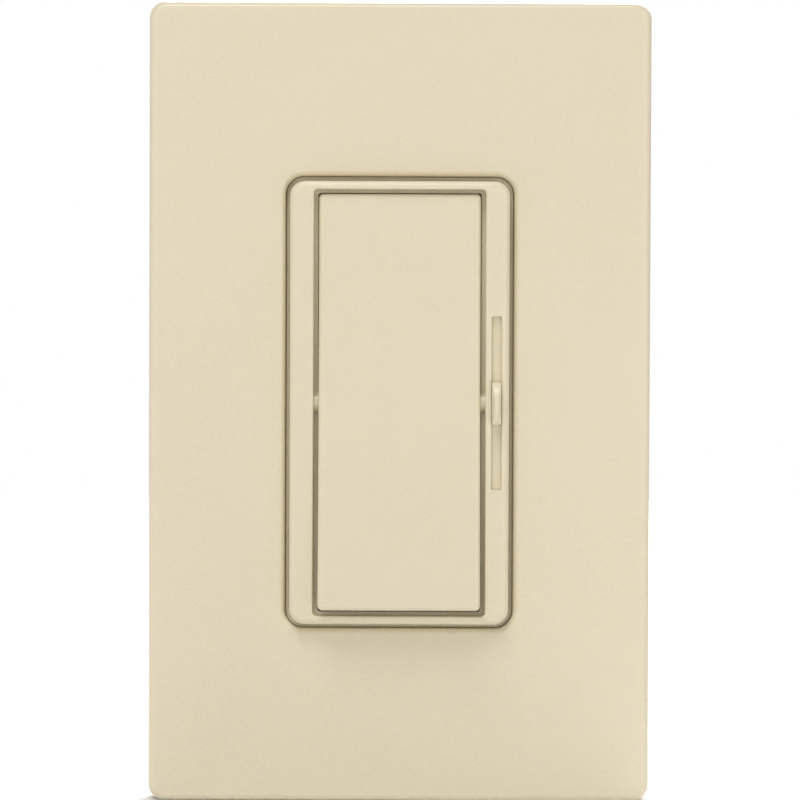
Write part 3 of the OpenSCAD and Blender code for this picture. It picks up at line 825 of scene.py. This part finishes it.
def buildStrapScrews():
    look, neck = boxScrewLook, screwLook["neck"]
    low, high = span("box_screws")
    parts = []
    for z in (-look["z"], look["z"]):
        at = (0, 0, z)
        head = lathe("Y", at, [(2.2, low.y), (2.9, low.y + 0.12), (3.3, low.y + 0.55), (3.5, low.y + 1.1),
                               (3.5, -1.75), (3.42, -1.5), (neck, -1.5), (neck, look["neckEnd"])])
        cut(head, block((-4, 4), (low.y - past, low.y + look["slotDepth"]), about(z, look["slotHalf"])),
            block(about(0, look["crossHalf"]), (low.y - past, low.y + look["crossDepth"]),
                  about(z, look["crossReach"])))
        parts += [head, *threadedEnd(at, look["neckEnd"], high.y, look, screwLook["r"])]
    place(gather(parts), "box_screw_pair", "box_screws", zincSteel)
    look = coverScrewLook
    r = screwLook["r"] - look["play"]
    low, high = span("adapter_screws")
    parts = []
    for z in (-look["z"], look["z"]):
        at = (0, 0, z)
        head = lathe("Y", at, [(3.1, low.y), (3.3, low.y + 0.1), (3.26, low.y + 0.25), (1.6, low.y + 1.75),
                               (1.6, low.y + 3)])
        cut(head, block((-4, 4), (low.y - past, low.y + look["slotDepth"]), about(z, look["slotHalf"])))
        parts += [head, *threadedEnd(at, low.y + look["neckEnd"], high.y, look, r)]
    place(gather(parts), "sub_plate_screws", "adapter_screws", zincSteel)


caseScrewLook = {"crossReach": 1.55, "crossHalf": 0.33, "crossDepth": 1.2}


def buildCaseScrews():
    look = caseScrewLook
    low, high = span("housing_screws")
    parts = []
    for x, z in caseCorners:
        at = (x, 0, z)
        head = lathe("Y", at, [(1.2, low.y), (1.2, high.y - 1.7), (2.5, high.y - 1.65), (2.6, high.y - 1.5),
                               (2.6, high.y - 0.8), (2.35, high.y - 0.35), (1.7, high.y - 0.06),
                               (0.9, high.y)], 40)
        cut(head, *crossTool(at, look["crossReach"], look["crossHalf"],
                             (high.y - look["crossDepth"], high.y + past)))
        parts.append(head)
    place(gather(parts), "case_screws", "housing_screws", zincSteel)


# the terminals are given by their side and height
terminalLook = {"seatX": 18.9, "headR": 3.6, "headX": 20.9, "tipX": 12.2, "y": 15,
                "common": (-1, 15), "travelers": ((1, 15), (1, -15)), "slotHalf": 0.45, "slotDepth": 0.9,
                "crossHalf": 0.42, "crossReach": 1.7, "crossDepth": 1.2}


def terminalScrew(side, z):
    look, core = terminalLook, screwLook["core"]
    y = look["y"]
    at = (0, y, z)
    top, seat, r = look["headX"], look["seatX"], look["headR"]
    head = lathe("X", at, [(core, seat - 0.5), (core, seat), (r - 0.15, seat), (r, seat + 0.15),
                           (r, top - 0.8), (r - 0.3, top - 0.4), (r - 1.0, top - 0.12), (r - 2.0, top)])
    cut(head, block((top - look["slotDepth"], top + past), about(y, look["slotHalf"]), about(z, 4)),
        block((top - look["crossDepth"], top + past), about(y, look["crossReach"]),
              about(z, look["crossHalf"])))
    shank = thread("X", at, (look["tipX"], seat - 0.3))
    whole = gather([head, shank])
    if side < 0:
        whole.data.transform(Matrix.Scale(-1, 4, (1, 0, 0)))
        whole.data.flip_normals()
    return whole


earthLook = {"y": 7, "z": -18.5, "slotHalf": 0.5, "slotDepth": 1.1, "under": 2.4}


def buildTerminals():
    look = terminalLook
    place(terminalScrew(*look["common"]), "common_terminal_screw", "common_screw", blackOxide)
    place(gather([terminalScrew(*t) for t in look["travelers"]]), "traveler_terminal_screws",
          "traveler_screws", brass)
    pressedPart("clamp_plates", "pressure_plates", zincSteel, 0.12)
    pressedPart("common_terminal", "common_terminal_plate", brass, 0.08)
    pressedPart("traveler_terminals", "traveler_terminal_plates", brass, 0.08)
    look = earthLook
    low, high = span("ground_screw")
    at = (0, look["y"], look["z"])
    hexHead = lathe("X", at, [(3.2, low.x), (3.95, low.x + 0.3), (4.2, low.x + 0.6), (4.2, low.x + 2.1),
                              (4.05, low.x + 2.5)], 6)
    washer = lathe("X", at, [(4.1, low.x + 1.9), (4.2, low.x + 2.0), (4.2, low.x + look["under"]),
                             (4.1, low.x + 2.5)])
    cut(hexHead, block((low.x - past, low.x + look["slotDepth"]), about(look["y"], 5),
                       about(look["z"], look["slotHalf"])))
    shank = thread("X", at, (low.x + look["under"], high.x))
    place(gather([hexHead, washer, shank]), "earth_screw", "ground_screw", greenDye, 25)


caseLook = {"wireX": 16.85, "wireZ": 3.1, "gaugeHalf": 0.35, "gaugeDepth": 0.35, "gauge": (-9.5, 0.4),
            "barHalf": 1.2, "bar": (-9.8, -9.2), "grooves": (-8, -4, 0, 4, 8), "grooveHalf": 0.5,
            "grooveInset": 4, "grooveDepth": 0.4}


def buildHousing():
    look = caseLook
    housing = cadCopy("housing")
    high = span("housing")[1]
    tools = []
    for side, z in (terminalLook["common"], *terminalLook["travelers"]):
        x = side * look["wireX"]
        tools.append(lathe("Y", (x, 0, z + look["wireZ"]), [(1.2, high.y - 0.9), (1.9, high.y - 0.1),
                                                            (1.9, high.y + past)], 40))
        # strip gauge: a groove as long as the bared wire should be, with a bar at its end
        for half, (start, end) in ((look["gaugeHalf"], look["gauge"]), (look["barHalf"], look["bar"])):
            tools.append(block(about(x, half), (high.y - look["gaugeDepth"], high.y + past),
                               (z + start, z + end)))
    # shallow moulded grooves across the two ends
    depths = (look["grooveInset"], high.y - look["grooveInset"])
    for side in (-1, 1):
        for x in look["grooves"]:
            tools.append(block(about(x, look["grooveHalf"]), depths,
                               sided(side, high.z - look["grooveDepth"], high.z + past)))
    cut(housing, *tools)
    place(soften(housing, 0.22), "back_case", "housing", blackCase)
    pressedPart("rating_label", "blank_label", foil, 0.04, 1)


pressedPart("wallplate_adapter", "sub_plate", ivoryPlate, 0.15)
pressedPart("yoke", "mounting_strap", strapMetal, 0.14)
pressedPart("screw_retainers", "fibre_washers", fibreBoard, 0.08)
buildStrapScrews()
buildCaseScrews()
buildTerminals()
buildHousing()
print("strap, screws and case built")


# Works inside the case

legR = 0.3


def legs(points):
    # straight leads, each given by its x, its two depths and its z
    return [tube([(x, start, z), (x, end, z)], legR) for x, start, end, z in points]


boardFront, boardBack = [corner.y for corner in span("circuit_board")]
# where leads and tags come through the board, as (x, z)
boardLook = {"joint": (0.75, 0.7), "joints": [
    (-9.74, 11.5), (-7.2, 11.5), (-4.66, 11.5), (-10, -15), (0, -15), (-10, -19), (0, -19), (-10, -23),
    (0, -23), (-9, -27), (-1, -27), (2.5, 20), (6.5, 20), (4.5, 24.2), (12, 18.2), (16, 18.2),
    (14.45, -18.4), (-3, 3), (-3, -3), (-3, 10), (-3, -10)]}


def buildBoard():
    pressedPart("circuit_board", "board", boardGreen, 0.06, 1)
    r, height = boardLook["joint"]
    dome = [(r * math.cos(a), boardBack - 0.02 + height * math.sin(a)) for a in quarter(5)]
    joints = [lathe("Y", (x, 0, z), dome, 16) for x, z in boardLook["joints"]]
    place(gather(joints), "solder_joints", "circuit_board", solder, stands=False)


# "open" is the part of the ring left bare; "square" below 1 makes the turns hug the ring's section
chokeLook = {"at": (-1, 13.6, -15), "mid": 6.75, "half": (2.25, 3.0), "turns": 30, "perTurn": 28,
             "wire": 0.38, "gap": 0.12, "open": 0.08, "square": 0.45,
             "lead": ((1.2, 0, 0.6), (1.0, 1.5, 0.5))}


def buildChoke():
    look = chokeLook
    pressedPart("choke_core", "choke_ring", coatedCore, 0.5, 4)
    cx, cy, cz = look["at"]
    out = look["wire"] + look["gap"]
    a, b = look["half"][0] + out, look["half"][1] + out
    path = []
    square, perTurn = look["square"], look["perTurn"]
    steps = look["turns"] * perTurn
    for i in range(steps + 1):
        t = i / steps
        around = math.tau * (look["open"] / 2 + t * (1 - look["open"]))
        wrap = math.tau * i / perTurn
        c, s = math.cos(wrap), math.sin(wrap)
        u = math.copysign(abs(c) ** square, c) * a
        v = math.copysign(abs(s) ** square, s) * b
        r = look["mid"] + u
        path.append((cx + r * math.cos(around), cy + v, cz + r * math.sin(around)))
    first, last = path[0], path[-1]
    # both ends lead down to the board
    path = [(first[0] + x, boardBack + y, first[2] + z) for x, y, z in look["lead"]] + path
    path += [(last[0] + x, boardBack + y, last[2] - z) for x, y, z in reversed(look["lead"])]
    place(tube(path, look["wire"], 8), "choke_turns", "choke_winding", enamelCopper, 60)


filmLook = {"foot": 1.5, "footInset": 0.5, "footHeight": 0.4, "lead": 2}


def buildFilmCapacitor():
    look = filmLook
    low, high = span("film_capacitor")
    foot, inset, lift = look["foot"], look["footInset"], look["footHeight"]
    body = soften(block((low.x, high.x), (boardBack + lift, high.y), (low.z, high.z)), 0.5, 4)
    feet = [block((x, x + foot), (boardBack, boardBack + 0.6), (low.z + 0.6, high.z - 0.6))
            for x in (low.x + inset, high.x - inset - foot)]
    wires = legs([(x, boardBack - look["lead"], boardBack + 0.5, (low.z + high.z) / 2)
                  for x in (low.x + foot, high.x - foot)])
    place(gather([body, *feet, *wires]), "boxed_film_capacitor", "film_capacitor", filmYellow)


# radius of each disc; the leads stand at "legs" of it from the middle
discLook = {"legs": 0.6, "edge": 0.85, "lead": 1.8, "parts": [
    ("ceramic_capacitor", "disc_capacitor", dippedOrange, 3.6),
    ("varistor", "disc_varistor", dippedBlue, 5.5)]}


def buildDiscs():
    look = discLook
    for node, name, material, r in look["parts"]:
        low, high = span(node)
        mid, half = (low + high) / 2, (high.z - low.z) / 2
        pieces = [rod("Z", r, about(0, half), mid, edge=half * look["edge"])]
        places = [mid.x + side * r * look["legs"] for side in (-1, 1)]
        # the coating runs a little way down each lead
        pieces += [lathe("Y", (x, 0, mid.z), [(0.3, mid.y - r - 0.6), (0.75, mid.y - r * 0.7),
                                              (0.8, mid.y - r * 0.4)], 16) for x in places]
        pieces += legs([(x, boardBack - look["lead"], mid.y - r * 0.55, mid.z) for x in places])
        place(gather(pieces), name, node, material)


# each end of a body is (share of the radius, distance in from the end)
axialLook = {"lift": 1.6, "bend": 0.5, "wire": 0.25, "inside": 0.2, "core": 0.5, "parts": [
    ("resistors", "banded_resistors", resistorCoat, 1.15, 3.25, 5, (-15, -19, -23),
     [(0.85, 0.12), (1, 0.5), (1, 1.1), (0.88, 1.5)]),
    ("diac", "glass_diac", diacGlass, 0.9, 2.0, 4, (-27,), [(0.9, 0.1), (1, 0.35)])]}


def buildAxialParts():
    look, x = axialLook, axialX
    y = boardFront - look["lift"]
    bend = look["bend"]
    for node, name, material, r, half, reach, rows, end in look["parts"]:
        bulge = [(look["core"], -half)] + [(r * share, -half + along) for share, along in end]
        profile = bulge + [(radius, -along) for radius, along in reversed(bulge)]
        bodies, wires = [], []
        for z in rows:
            bodies.append(lathe("X", (x, y, z), profile, 32))
            for side in (-1, 1):
                path = [(x + side * (half - look["inside"]), y, z), (x + side * (reach - bend), y, z)]
                path += [(x + side * (reach - bend + bend * math.sin(a)), y + bend - bend * math.cos(a), z)
                         for a in quarter(4)[1:]]
                path.append((x + side * reach, boardBack, z))
                wires.append(tube(path, look["wire"]))
        place(gather(bodies), name, node, material)
        place(gather(wires), name + "_leads", node, solder, stands=False)


def buildTrimmer():
    pressedPart("trimmer_body", "trimmer_case_block", trimmerBlue, 0.15)
    low, high = span("trimmer_rotor")
    x, z = (low.x + high.x) / 2, (low.z + high.z) / 2
    rotor = lathe("Y", (x, 0, z), [(2.1, low.y), (2.3, low.y + 0.15), (2.4, low.y + 0.4),
                                   (2.4, high.y)], 40)
    cut(rotor, *crossTool((x, 0, z), 1.6, 0.3, (low.y - past, low.y + 0.8)))
    place(rotor, "trimmer_dial", "trimmer_rotor", whiteAcetal)


buildBoard()
buildChoke()
buildFilmCapacitor()
buildDiscs()
buildAxialParts()
buildTrimmer()
for node, name, material, width, segments in (
        ("pot_frame", "slider_pot_shell", zincSteel, 0.1, 2),
        ("pot_track", "slider_pot_track", phenolic, 0.05, 1),
        ("pot_wiper", "slider_pot_carrier", whiteAcetal, 0.1, 2),
        ("contact_rocker", "contact_arm_strip", brass, 0.06, 2),
        ("moving_contacts", "moving_contact_buttons", silverAlloy, 0.15, 3),
        ("rocker_bracket", "common_bracket", brass, 0.08, 2),
        ("fixed_contacts", "fixed_contact_buttons", silverAlloy, 0.12, 3),
        ("contact_blades", "contact_blade_pair", brass, 0.06, 2),
        ("triac", "triac_package", epoxyBlack, 0.12, 2),
        ("triac_pad", "triac_insulator", padRubber, 0.04, 1),
        ("triac_rivet", "triac_rivet_steel", zincSteel, 0.25, 3)):
    pressedPart(node, name, material, width, segments)
print("inner works built")


# Stage, light and camera

stageLook = {"floor": (0.93, 0.93, 0.925), "reach": 0.9, "background": 1.0, "ambient": 0.32}
cameraLook = {"lens": 200.0, "sensor": 36.0, "distance": 0.6624, "elevation": 1.6, "roll": 0.22,
              "shiftX": 0.0008, "shiftY": 0.0034, "clip": 0.01}
lightLook = [
    {"name": "key", "at": (-0.45, -1.45, 0.45), "size": 0.6, "power": 2.3, "colour": (1.0, 0.99, 0.97)},
    {"name": "fill", "at": (0.66, -1.45, 0.05), "size": 0.5, "power": 2.4, "colour": (1.0, 0.99, 0.98)},
    {"name": "top", "at": (-0.32, -0.95, 1.75), "size": 1.0, "power": 18.0, "colour": (1.0, 0.99, 0.97)},
    {"name": "back", "at": (0.3, 1.1, 0.8), "size": 0.9, "power": 22.0, "colour": (1.0, 1.0, 1.0)},
]


def buildStage():
    bottom = cadBox[0][2]
    reach = stageLook["reach"]
    mesh = bpy.data.meshes.new("floor")
    mesh.from_pydata([(x * reach, y * reach, bottom) for x, y in ((-1, -1), (1, -1), (1, 1), (-1, 1))],
                     [], [(0, 1, 2, 3)])
    floor = addObject(mesh, "floor")
    material, start, place = paint("pale_floor")
    speck = noise(start, place, 60, 3)
    pale = stageLook["floor"]
    finishWith(start, Base_Color=mix(start, speck, [c * 0.985 for c in pale], pale),
               Roughness=0.7 + speck * 0.1, Normal=bump(start, noise(start, place, 700, 2), 0.02))
    mesh.materials.append(material)
    world = bpy.data.worlds.new("studio")
    world.use_nodes = True
    world.node_tree.nodes.clear()
    sky = Wire(world.node_tree)
    # the backdrop is brighter to the camera than the light it gives
    seen = sky.node("ShaderNodeLightPath", out="Is Camera Ray")
    glow, backdrop = [sky.node("ShaderNodeBackground", inputs={"Color": (1, 1, 1, 1), "Strength": level})
                      for level in (stageLook["ambient"], stageLook["background"])]
    light = sky.node("ShaderNodeMixShader", inputs={0: seen, 1: glow, 2: backdrop})
    sky.node("ShaderNodeOutputWorld", inputs={"Surface": light})
    bpy.context.scene.world = world


def buildLights():
    for look in lightLook:
        lamp = bpy.data.lights.new(look["name"], "AREA")
        lamp.shape = "DISK"
        lamp.size = look["size"]
        lamp.energy = look["power"]
        lamp.color = look["colour"]
        obj = addObject(lamp, look["name"])
        obj.location = look["at"]
        obj.rotation_euler = (-Vector(look["at"])).to_track_quat("-Z", "Y").to_euler()


def buildCamera():
    look = cameraLook
    data = bpy.data.cameras.new("camera")
    data.lens = look["lens"]
    data.sensor_width = look["sensor"]
    data.shift_x = look["shiftX"]
    data.shift_y = look["shiftY"]
    data.clip_start = look["clip"]
    camera = addObject(data, "camera")
    up = math.radians(look["elevation"])
    target = Vector((0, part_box("wallplate")[0].y, 0))
    spot = target + look["distance"] * Vector((0, -math.cos(up), math.sin(up)))
    aim = Matrix.Rotation(math.pi / 2 - up, 4, "X") @ Matrix.Rotation(math.radians(look["roll"]), 4, "Z")
    camera.matrix_world = Matrix.Translation(spot) @ aim
    bpy.context.scene.camera = camera


buildStage()
buildLights()
buildCamera()
bpy.context.scene.view_settings.view_transform = "Standard"
print("stage, lights and camera set")
